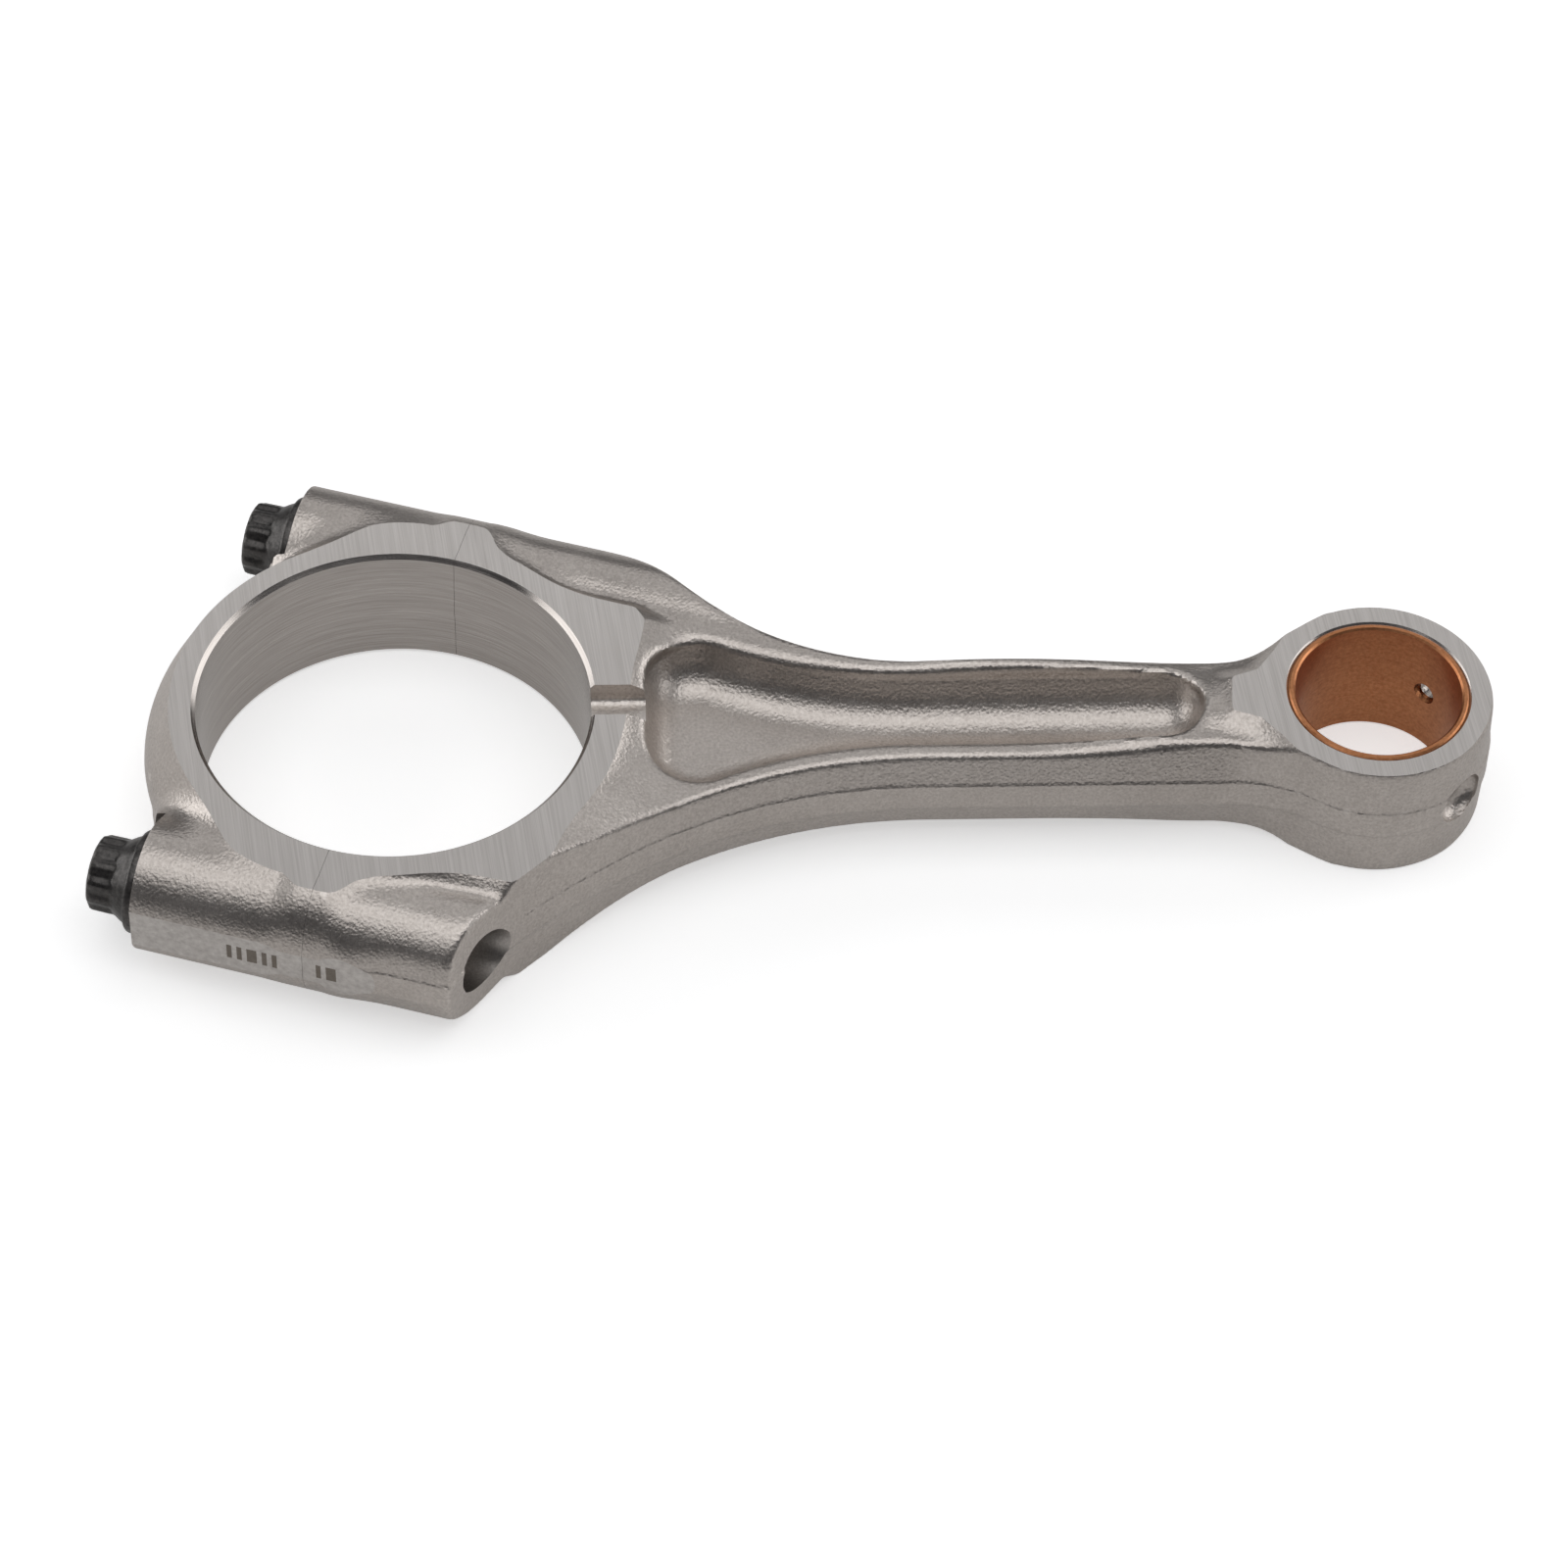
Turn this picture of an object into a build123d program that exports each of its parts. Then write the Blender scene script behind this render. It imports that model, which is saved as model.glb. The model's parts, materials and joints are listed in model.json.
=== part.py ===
from build123d import *
from math import asin, cos, radians, sin, sqrt
import os

# A forged, fracture-split connecting rod lying flat: origin on the big-end bore axis at mid-thickness,
# +X along the rod to the pin end, +Z along both bores. Millimetres.

# ---- driving dimensions -------------------------------------------------------------------------
CENTRES = 153.0            # big-end bore axis to pin bore axis
WIDTH = 22.3               # machined thickness across the thrust faces, both ends

BIG_BORE_R = 30.6          # bearing housing bore
BIG_CHAMFER = 0.65
RING_FACE_R = 34.7         # outer edge of the ring's thrust face
RING_MID_R = 39.0          # crown of the ring at the parting plane
RING_BAND = 2.6            # half height of the cylindrical band round the crown

SPLIT_TILT = 17.5          # the bolts lean by this angle from the rod's own axis
BOLT_OFFSET = 36.5         # bolt axis to bore axis
BOSS_R = 10.0              # bolt boss, round about the bolt axis
BOSS_SEAT = 27.4           # bolt seat on the cap, from the split plane
SEAT_INNER = 28.2          # the seats are milled from here outwards, from the bore axis
NEAR_BOSS_END = 24.0       # the bosses run out into the fan, from the split plane
FAR_BOSS_END = 34.0
BOSS_FILL_END = 20.0       # solid between ring and boss ends here
BOSS_FILL_HALF = 8.0       # and is this thick, half
PAD_OFFSET = 45.7          # machined side pads, from the bore axis
WEB_HALF = 4.2             # the full-thickness web across the split, half its width
WEB_REACH = 39.5           # the web's flat top ends here
FACE_HALF = 29.2           # half width of the thrust face on the rod side
FACE_END = 29.7            # its outer corners, along the bolts
FACE_MIDDLE_X = 35.3       # and its edge on the rod's own axis

BOLT_R = 4.5               # M9 thread and fitted shank
BOLT_WAIST_R = 3.95
BOLT_LENGTH = 45.0         # under the head
CAP_HOLE_R = 4.58
THREAD_HOLE_R = 4.55
THREAD_HOLE_DEPTH = 19.5   # below the split plane, then the wider run-out
RUN_OUT_R = 5.3
RUN_OUT_END = 50.0         # it breaks out of the fan's side walls before this
COLLAR_LENGTH = 6.0        # fitted part of the shank under the head
THREAD_START = -5.0        # from the split plane
FLANGE_R = 8.1
FLANGE_THICK = 2.0
HEAD_R = 5.95
HEAD_LENGTH = 8.7          # seat to the end of the head
HEAD_NECK = 2.4            # cone between the flange and the lobed part
NECK_RELIEF = 0.8          # how much smaller than the flange the cone starts
LOBES = 12
LOBE_R = 0.85
LOBE_GAP = 1.6             # the lobes end this far above the flange

PLATE_HALF = 7.7           # half thickness of the shank at its rims
SHANK_HALF = 11.3          # half width of the shank at the parting plane
DRAFT = 13.5               # forging draft of the shank's side walls
NEAR_SWEEP_R = 86.0        # concave side between the near bolt boss and the shank
NEAR_SWEEP_X = 82.1
NEAR_SWEEP_START = 9.5
FAR_SWEEP_R = 48.2         # the same on the far side, tighter because that boss is longer
FAR_SWEEP_X = 82.5
FAR_SWEEP_START = 47.5
FAN_HALF = 44.5            # the fan's outline inside the bosses, from the bore axis
NECK_X = 127.0             # the shank starts to widen to the pin end here

WEB_HALF_THICK = 1.9       # floor of the pockets, half the I-section's web
POCKET_HALF = 6.9
POCKET_START = 39.0
POCKET_END = 125.8
POCKET_BELLY_HALF = 13.6   # its widest, near the big end
POCKET_BELLY_R = 8.0
POCKET_WAIST_X = 80.0      # parallel from here on
POCKET_DRAFT = 22.0

EYE_R = 18.0               # pin end
BUSH_R = 14.1
PIN_R = 13.0
BUSH_CHAMFER = 0.3
EYE_CHAMFER = 0.35
TONGUE_X = 130.4           # end of the tongue of the pin end's thrust face
TONGUE_HALF = 3.3
TONGUE_NECK_X = 137.2      # it widens from here to meet the round of the eye
TONGUE_NECK_HALF = 8.5

OIL_SLOT_HALF = 2.8        # across the ring's upper thrust face
OIL_SLOT_DEPTH = 3.3
OIL_SLOT_END = 40.0
OIL_ANGLE = 45.0           # the two oil feeds, either side of the rod's axis
OIL_R = 1.5
BUSH_OIL_R = 1.9
DIMPLE_R = 4.3
DIMPLE_DEPTH = 2.4

# ---- derived values -----------------------------------------------------------------------------
HALF = WIDTH / 2
TILT = Rot(0, 0, -SPLIT_TILT)     # local X runs along the bolts towards the rod, local Y across them
BIG = 200.0                       # larger than the whole part, for half-space cuts
CORE = 4.0                        # stock left inside a bore until it is bored
OVERRUN = 1.0                     # cutting tools run this far past a face
SIDES = (-1, 1)


def tilted(s, t):
    """Plan point from a distance along the bolts and a distance across them."""
    a = radians(SPLIT_TILT)
    return (s * cos(a) + t * sin(a), -s * sin(a) + t * cos(a))


def slab(outline, half):
    """A closed plan outline, thickened by half each way from the parting plane."""
    return extrude(make_face(outline), half, both=True)


def along_bolt(radius, start, end, side):
    """Round bar about one bolt axis, between two distances from the split plane."""
    bar = Pos((start + end) / 2, side * BOLT_OFFSET, 0) * Rot(0, 90, 0) * Cylinder(radius, end - start)
    return TILT * bar


def tilted_box(s0, s1, t0, t1, half):
    box = Pos((s0 + s1) / 2, (t0 + t1) / 2, 0) * Box(s1 - s0, t1 - t0, 2 * half)
    return TILT * box


def ring():
    """The big-end ring: flat thrust faces and a crown that swells to the parting plane."""
    profile = Polyline(
        (BIG_BORE_R - CORE, -HALF), (RING_FACE_R, -HALF), (RING_MID_R, -RING_BAND),
        (RING_MID_R, RING_BAND), (RING_FACE_R, HALF), (BIG_BORE_R - CORE, HALF), close=True)
    return revolve(make_face(Plane.XZ * profile), Axis.Z)


def side_sweep(side, sweep_r, sweep_x, start_x):
    """Concave side wall at the parting plane, from the bolt boss to where the shank is parallel."""
    centre_y = SHANK_HALF + sweep_r

    def point(x):
        return (x, side * (centre_y - sqrt(sweep_r ** 2 - (sweep_x - x) ** 2)))
    return ThreePointArc(point(start_x), point((start_x + sweep_x) / 2), point(sweep_x))


def neck_arc(side):
    """Concave shoulder, tangent to the shank and to the pin end's round."""
    run = CENTRES - NECK_X
    r = (run ** 2 + SHANK_HALF ** 2 - EYE_R ** 2) / (2 * (EYE_R - SHANK_HALF))
    centre = (NECK_X, SHANK_HALF + r)
    turn = asin(run / (EYE_R + r))

    def point(a):
        return (centre[0] + r * sin(a), side * (centre[1] - r * cos(a)))
    return ThreePointArc(point(0), point(turn / 2), point(turn))


def shank():
    """The forged beam in plan: fan at the big end, parallel shank, shoulders at the pin end."""
    near = side_sweep(-1, NEAR_SWEEP_R, NEAR_SWEEP_X, NEAR_SWEEP_START)
    far = side_sweep(1, FAR_SWEEP_R, FAR_SWEEP_X, FAR_SWEEP_START)
    near_neck = neck_arc(-1)
    far_neck = neck_arc(1)
    far_round = (FAR_BOSS_END - 3.0, FAN_HALF - 1.5)
    far_tip = [Vector(*tilted(*far_round)), Vector(*tilted(26.0, FAN_HALF)), Vector(*tilted(0.0, FAN_HALF))]
    near_tip = [Vector(*tilted(0.0, -FAN_HALF)), near @ 0]
    outline = [
        near,
        Line(near @ 1, near_neck @ 0),
        near_neck,
        Line(near_neck @ 1, far_neck @ 1),
        far_neck,
        Line(far_neck @ 0, far @ 1),
        far,
        Polyline(far @ 0, *far_tip, *near_tip),
    ]
    face = make_face(outline)
    upper = extrude(face, PLATE_HALF, taper=DRAFT)
    lower = extrude(face, PLATE_HALF, dir=(0, 0, -1), taper=DRAFT)
    return upper + lower


def pocket():
    """Teardrop recess of the I-section, cut from the upper face down to the web."""
    flank = POCKET_END - POCKET_HALF
    belly = (POCKET_START + POCKET_BELLY_R, POCKET_BELLY_HALF - POCKET_BELLY_R)
    rise = belly[1] - POCKET_HALF
    run = POCKET_WAIST_X - belly[0]
    waist_r = (run ** 2 + rise ** 2 - POCKET_BELLY_R ** 2) / (2 * (POCKET_BELLY_R + rise))
    lean = asin(run / (POCKET_BELLY_R + waist_r))

    def flank_edges(sign):
        def on_belly(a):
            return (belly[0] + POCKET_BELLY_R * sin(a), sign * (belly[1] + POCKET_BELLY_R * cos(a)))

        def on_waist(a):
            return (POCKET_WAIST_X - waist_r * sin(a), sign * (POCKET_HALF + waist_r - waist_r * cos(a)))
        return [
            ThreePointArc(on_belly(-radians(90)), on_belly((lean - radians(90)) / 2), on_belly(lean)),
            ThreePointArc(on_waist(lean), on_waist(lean / 2), on_waist(0)),
            Line(on_waist(0), (flank, sign * POCKET_HALF)),
        ]
    outline = [
        Line((POCKET_START, -belly[1]), (POCKET_START, belly[1])),
        *flank_edges(1),
        ThreePointArc((flank, POCKET_HALF), (POCKET_END, 0), (flank, -POCKET_HALF)),
        *flank_edges(-1),
    ]
    face = Pos(0, 0, PLATE_HALF) * make_face(outline)
    recess = extrude(face, PLATE_HALF - WEB_HALF_THICK, dir=(0, 0, -1), taper=POCKET_DRAFT)
    return recess + extrude(face, HALF, dir=(0, 0, 1))


def tongue():
    """Raised thrust face of the pin end, with its tongue along the shank."""
    neck = (TONGUE_NECK_X, TONGUE_NECK_HALF)
    flare = [(TONGUE_X, TONGUE_HALF), (134.5, 4.8), neck, (139.5, 12.0), (CENTRES, EYE_R - 1)]
    mirrored = [(x, -y) for x, y in reversed(flare)]
    return slab(Polyline(*flare, *mirrored, close=True), HALF)


def face_block():
    """Thrust face of the rod side of the big end, where the ring widens into the fan."""
    near = [tilted(0, -FACE_HALF), tilted(FACE_END, -FACE_HALF), (23.6, -32.0), (27.5, -23.0), (32.5, -13.0)]
    far = [(FACE_MIDDLE_X, 0), (37.4, 12.0), (38.2, 16.5), tilted(FACE_END, FACE_HALF), tilted(0, FACE_HALF)]
    return slab(Polyline(*near, *far, close=True), HALF)


def bosses():
    """Both bolt bosses: round bars along the bolts, joined to the ring, with the split's webs."""
    solid = tilted_box(-WEB_HALF, WEB_HALF, -WEB_REACH, WEB_REACH, HALF)
    solid += tilted_box(-BOSS_SEAT, BOSS_FILL_END, -BOLT_OFFSET, BOLT_OFFSET, BOSS_FILL_HALF)
    for side, end in zip(SIDES, (NEAR_BOSS_END, FAR_BOSS_END)):
        solid += along_bolt(BOSS_R, -BOSS_SEAT, end, side)
    return solid


def forging():
    """The whole blank before the bores, the split and the bolt holes."""
    beam = shank()
    near_cut = slab([*sweep_region(-1, NEAR_SWEEP_R, NEAR_SWEEP_X, NEAR_SWEEP_START)], HALF)
    far_cut = slab([*sweep_region(1, FAR_SWEEP_R, FAR_SWEEP_X, FAR_SWEEP_START)], HALF)
    big_end = ring() + bosses() + face_block() - near_cut - far_cut
    beam -= pocket()
    beam -= mirror(pocket(), about=Plane.XY)
    blank = beam + big_end + tongue() + Pos(CENTRES, 0, 0) * Cylinder(EYE_R, WIDTH)
    for side in SIDES:
        pad = Pos(0, side * (PAD_OFFSET + BIG / 2), 0) * Box(BIG, BIG, BIG)
        seat = Pos(-BOSS_SEAT - BIG / 2, side * (SEAT_INNER + BIG / 2), 0) * Box(BIG, BIG, BIG)
        blank -= TILT * pad
        blank -= TILT * seat
    return blank


def sweep_region(side, sweep_r, sweep_x, start_x):
    """Outline of the open space beside the shank, bounded by the concave side wall."""
    arc = side_sweep(side, sweep_r, sweep_x, start_x)
    begin = arc @ 0
    end = arc @ 1
    outer = side * BIG / 2
    return arc, Polyline(end, (end.X, outer), (begin.X, outer), begin)


def oil_feed(side):
    """Drilled feed through the eye, opened outside by a forged dimple."""
    direction = Rot(0, 0, side * OIL_ANGLE) * Rot(0, 90, 0)
    at = Pos(CENTRES, 0, 0) * direction
    drill = at * Pos(0, 0, (PIN_R + EYE_R) / 2) * Cylinder(OIL_R, EYE_R - PIN_R + 2 * OVERRUN)
    bowl = Cone(OIL_R, DIMPLE_R, DIMPLE_DEPTH + OVERRUN)
    return drill + at * Pos(0, 0, EYE_R + (OVERRUN - DIMPLE_DEPTH) / 2) * bowl


def bore_tool(centre_x, radius, chamfer):
    """Bore with a chamfer at each mouth, as a cutting solid."""
    mouth = radius + chamfer + OVERRUN
    end = HALF + OVERRUN
    profile = Polyline(
        (0, -end), (mouth, -end), (radius, -HALF + chamfer), (radius, HALF - chamfer), (mouth, end), (0, end),
        close=True)
    return Pos(centre_x, 0, 0) * revolve(make_face(Plane.XZ * profile), Axis.Z)


def machined():
    """Rod and cap still in one piece, bored and drilled."""
    body = forging()
    body -= bore_tool(0, BIG_BORE_R, BIG_CHAMFER)
    body -= bore_tool(CENTRES, BUSH_R, EYE_CHAMFER)
    slot_length = OIL_SLOT_END - BIG_BORE_R + CORE
    slot_centre = Pos(OIL_SLOT_END - slot_length / 2, 0, HALF)
    body -= slot_centre * Box(slot_length, 2 * OIL_SLOT_HALF, 2 * OIL_SLOT_DEPTH)
    for side in SIDES:
        body -= oil_feed(side)
        body -= along_bolt(CAP_HOLE_R, -BOSS_SEAT - OVERRUN, 0, side)
        body -= along_bolt(THREAD_HOLE_R, -OVERRUN, THREAD_HOLE_DEPTH, side)
        body -= along_bolt(RUN_OUT_R, THREAD_HOLE_DEPTH, RUN_OUT_END, side)
    return body


def half_of(body, side):
    """What lies on one side of the split: the plane through the bore axis, square to the bolts."""
    return body & TILT * Pos(side * BIG, 0, 0) * Box(2 * BIG, BIG, BIG)


def bolt(side):
    """Flange bolt with a round-lobed head; the shank is waisted between collar and thread."""
    collar_end = -BOSS_SEAT + COLLAR_LENGTH
    shank = along_bolt(BOLT_R, -BOSS_SEAT, collar_end, side)
    shank += along_bolt(BOLT_WAIST_R, collar_end - OVERRUN, THREAD_START + OVERRUN, side)
    shank += along_bolt(BOLT_R, THREAD_START, BOLT_LENGTH - BOSS_SEAT, side)
    flange_top = -BOSS_SEAT - FLANGE_THICK
    head_end = -BOSS_SEAT - HEAD_LENGTH
    flange = along_bolt(FLANGE_R, flange_top, -BOSS_SEAT, side)
    root_r = HEAD_R - LOBE_R * 0.6
    cone = Cone(root_r, FLANGE_R - NECK_RELIEF, HEAD_NECK)
    cone = Pos(flange_top - HEAD_NECK / 2, side * BOLT_OFFSET, 0) * Rot(0, 90, 0) * cone
    head = along_bolt(root_r, head_end, flange_top, side)
    for i in range(LOBES):
        angle = radians(360 * i / LOBES)
        reach = HEAD_R - LOBE_R
        length = flange_top - LOBE_GAP - head_end
        lobe = Pos(head_end + length / 2, side * BOLT_OFFSET + reach * sin(angle), reach * cos(angle))
        head += TILT * lobe * Rot(0, 90, 0) * Cylinder(LOBE_R, length)
    return shank + flange + TILT * cone + head


def bush():
    """Pressed-in pin bush, bored to size, with an oil hole under each feed."""
    sleeve = Pos(CENTRES, 0, 0) * Cylinder(BUSH_R, WIDTH)
    sleeve -= bore_tool(CENTRES, PIN_R, BUSH_CHAMFER)
    for side in SIDES:
        drill = Cylinder(BUSH_OIL_R, 4 * (BUSH_R - PIN_R))
        drill = Rot(0, 0, side * OIL_ANGLE) * Pos(PIN_R, 0, 0) * Rot(0, 90, 0) * drill
        sleeve -= Pos(CENTRES, 0, 0) * drill
    return sleeve


os.makedirs("parts", exist_ok=True)
whole = machined()
pieces = {
    "rod": half_of(whole, 1),
    "big_end_cap": half_of(whole, -1),
    "small_end_bush": bush(),
    "cap_bolt_near": bolt(-1),
    "cap_bolt_far": bolt(1),
}
for name, solid in pieces.items():
    solid.label = name
    export_step(solid, f"parts/{name}.step")
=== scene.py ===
import json
from math import atan2, cos, hypot, pi, radians, sin, tan

import bmesh
import bpy
import numpy as np
from mathutils import Matrix, Vector


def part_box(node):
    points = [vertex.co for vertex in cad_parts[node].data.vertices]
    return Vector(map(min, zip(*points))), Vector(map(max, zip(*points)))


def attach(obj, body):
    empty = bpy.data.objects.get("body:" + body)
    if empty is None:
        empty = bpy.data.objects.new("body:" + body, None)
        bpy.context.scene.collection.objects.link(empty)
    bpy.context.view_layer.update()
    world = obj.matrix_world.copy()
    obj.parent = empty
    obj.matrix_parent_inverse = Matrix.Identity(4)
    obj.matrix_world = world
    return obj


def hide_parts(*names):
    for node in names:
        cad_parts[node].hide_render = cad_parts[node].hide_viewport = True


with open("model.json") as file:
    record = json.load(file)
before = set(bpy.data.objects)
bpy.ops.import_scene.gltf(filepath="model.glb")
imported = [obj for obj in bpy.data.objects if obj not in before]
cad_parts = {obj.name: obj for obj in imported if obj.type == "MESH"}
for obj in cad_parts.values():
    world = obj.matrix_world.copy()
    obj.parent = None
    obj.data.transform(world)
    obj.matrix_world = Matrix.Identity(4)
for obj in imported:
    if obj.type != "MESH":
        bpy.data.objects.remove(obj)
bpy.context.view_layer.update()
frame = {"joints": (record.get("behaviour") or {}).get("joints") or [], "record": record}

# A forged, fracture-split connecting rod: rod, cap, two cap bolts and a pin bush. Meshes are worked
# in millimetres and turned to metres as each piece is finished. s runs along the bolts towards the
# rod, t across them, and the split lies at s = 0.

# ==== Forging: rod and cap ========================================================================
# The rod and its cap are forged as one steel blank, ground, bored and drilled as one, and only then
# cracked apart. The blank is drawn as one closed surface from its drafted walls, webs and fillets.
record = frame["record"]
mounts = {mount["name"]: mount for mount in record["mounts"]}
split_axis = Vector(frame["joints"][0]["axis"])
MM = 0.001
ALONG = (-split_axis.x, -split_axis.y)          # s direction in plan
ACROSS = (split_axis.y, -split_axis.x)          # t direction in plan
CENTRES = mounts["pin_bore"]["pos_m"][0] / MM   # big-end bore to pin bore
FACE_Z = mounts["thrust_face_top"]["pos_m"][2] / MM
BORE_R = mounts["big_end_bore"]["dims"]["r_mm"]
PIN_R = mounts["pin_bore"]["dims"]["r_mm"]

STOCK_Z = FACE_Z + 0.75      # forged height before the faces are ground
BAND_Z = 2.6                 # half height of the trimmed band round the parting line
BAND_PROUD = 0.22            # how far the trimmed band stands out
RING_R = 39.0                # crown of the big-end ring
RING_LEAN = (0.893, 0.449)   # how far the ring's flanks face outwards and upwards
BOLT_T = 36.5                # bolt axis to bore axis
BOSS_R = 9.85
BOSS_FLAT = 0.93             # a boss's width over its height
BOSS_DIP = 0.35              # radius lost at the split
BOSS_TAPER = 0.4             # radius lost on the rod's side
SEAT_S = -27.4               # bolt seat on the cap
SEAT_STOCK = 1.1             # left for milling the seats
PAD_T = 45.7                 # machined side pads
PAD_STOCK = 1.3              # left for milling the pads
PAD_STEP = 1.7               # on the rod's side the bosses' sides step in by this
BOSS_DRAFT = 0.26            # lean of the bosses' sides above the band
PLATE_Z = 7.7                # rims of the shank
SHANK_Y = 9.5                # half width of the shank at its rims
NEAR_SWEEP = (82.1, 84.0)    # x of the centre and radius of the near concave side
FAR_SWEEP = (82.5, 50.0)
NEAR_TIP = (0.7, 1.8)        # how round the boss's corner is, and how far the side pulls in there
FAR_TIP = (5.5, 0.0)
DRAFT_X = (20, 46, 75, 128, 141)               # along the sides, the draft brings the
DRAFT_OUT = (0.3, 1.0, 1.65, 1.65, 0.15)       # parting line out by this much
NECK_X = 127.0
EYE_R = 18.0
POCKET_Z = 1.9               # pocket floor
POCKET_Y = 6.6
POCKET_START = 39.0
POCKET_END = 125.8
BELLY_Y = 13.6               # the pocket's widest half width
BELLY_R = 8.0
WAIST_X = 80.0
DRAFT = tan(radians(24))     # draft of the pocket walls
FACE_LEAN = (0.3, 1.8)       # run of the thrust face's flanks for each mm down, at the bosses and the fan
WEB_S = 4.2                  # half width of the full-height web over the split
WEB_T = 35.9                 # centre of the web's rounded end
WEB_Z = 3.3
WEB_R = 8.3
TONGUE = ((130.4, 3.3), (134.5, 4.8), (137.2, 8.5), (139.5, 12.2), (146.0, 16.6), (153.0, 17.4))
EYE_LEAN = 0.9               # run of the eye's flank for each mm down
SKIM = 0.3                   # the eye's flat face is this much smaller than the eye
BORE_STOCK = (3.5, 2.0)      # left in the big end and the eye for boring
FAN_X = 60.0                 # the bosses lie short of this
FAR_OUT = 60.0               # well clear of the big end
CELL = 0.62


def plan(s, t):
    """Plan point from distances along and across the bolts."""
    return (s * ALONG[0] + t * ACROSS[0], s * ALONG[1] + t * ACROSS[1])


def union(a, b, blend):
    """Two solids joined with a fillet of about this size; a solid is negative inside."""
    overlap = np.clip(1 - np.abs(a - b) / blend, 0, None)
    return np.minimum(a, b) - overlap ** 2 * blend / 4


def common(a, b, blend):
    """What two solids share, with its edge rounded."""
    return -union(-a, -b, blend)


def ramp(value, start, end):
    """Smooth step from 0 at start to 1 at end."""
    k = np.clip((value - start) / (end - start), 0, 1)
    return k * k * (3 - 2 * k)


def between(low, high, k):
    return low + (high - low) * k


def outline_distance(points, x, y):
    """Distance to a closed plan outline, negative inside."""
    near = None
    inside = False
    for (ax, ay), (bx, by) in zip(points, points[1:] + points[:1]):
        ex, ey = bx - ax, by - ay
        k = np.clip(((x - ax) * ex + (y - ay) * ey) / (ex * ex + ey * ey), 0, 1)
        gap = np.hypot(x - ax - k * ex, y - ay - k * ey)
        near = gap if near is None else np.minimum(near, gap)
        crosses = ((ay > y) != (by > y)) & (x < ax + ex * (y - ay) / (ey if ey else 1))
        inside = inside ^ crosses
    return np.where(inside, -near, near)


def pocket_distance(x, y):
    """Distance to the teardrop outline of the shank's pocket at its rim."""
    y = np.abs(y)
    bx, by = POCKET_START + BELLY_R, BELLY_Y - BELLY_R
    rise, run = by - POCKET_Y, WAIST_X - bx
    waist_r = (run ** 2 + rise ** 2 - BELLY_R ** 2) / (2 * (BELLY_R + rise))
    wy = POCKET_Y + waist_r
    ex = POCKET_END - POCKET_Y
    qx, qy = bx - x, y - by
    corner = np.hypot(np.maximum(qx, 0), np.maximum(qy, 0)) + np.minimum(np.maximum(qx, qy), 0) - BELLY_R
    belly = np.hypot(x - bx, y - by) - BELLY_R
    waist = waist_r - np.hypot(x - WAIST_X, y - wy)
    on_belly = (x - bx) * (wy - by) < (y - by) * (WAIST_X - bx)
    flank = np.where(on_belly, belly, waist)
    stem = np.where(x < ex, y - POCKET_Y, np.hypot(x - ex, y) - POCKET_Y)
    return np.where(x < bx, corner, np.where(x < WAIST_X, flank, stem))


FACE_OUTLINE = [
    plan(0, -29.2), (19.4, -36.3), (23.0, -32.0), (26.4, -22.6), (30.5, -15.0), (34.6, 0.0),
    (37.4, 12.0), (38.2, 16.5), plan(29.8, 29.2), plan(0, 29.2)]
TONGUE_OUTLINE = list(TONGUE) + [(x, -y) for x, y in reversed(TONGUE)]


def side_walls(x, y, t, s, az):
    """The trimmed outside of the blank: boss walls, concave sweeps, shank, neck and pin end."""
    level = np.clip((PLATE_Z - az) / (PLATE_Z - BAND_Z), -0.7, 1)
    bulge = np.interp(x, DRAFT_X, DRAFT_OUT) * level
    boss_wall = PAD_T + PAD_STOCK - PAD_STEP * ramp(s, 4, 14) - BOSS_DRAFT * np.maximum(az - BAND_Z, 0)
    boss_wall = boss_wall + FAR_OUT * ramp(x, 55, 75)       # no boss beyond the fan
    neck_y = SHANK_Y + NECK_R
    eye = np.hypot(x - CENTRES, y) - EYE_R + 0.05 - bulge
    walls = []
    for side, (sweep_x, sweep_r), (tip, lift) in ((-1, NEAR_SWEEP, NEAR_TIP), (1, FAR_SWEEP, FAR_TIP)):
        out = side * y
        sweep = sweep_r - np.hypot(x - sweep_x, out - SHANK_Y - sweep_r) + lift * ramp(x, 34, 8)
        neck = NECK_R - np.hypot(x - NECK_X, out - neck_y)
        beam = np.where(x < sweep_x, sweep, np.where(x < NECK_X, out - SHANK_Y, neck)) - bulge
        walls.append(common(beam, side * t - boss_wall, tip))
    return np.where(x < NECK_END_X, np.maximum(*walls), eye)


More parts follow.
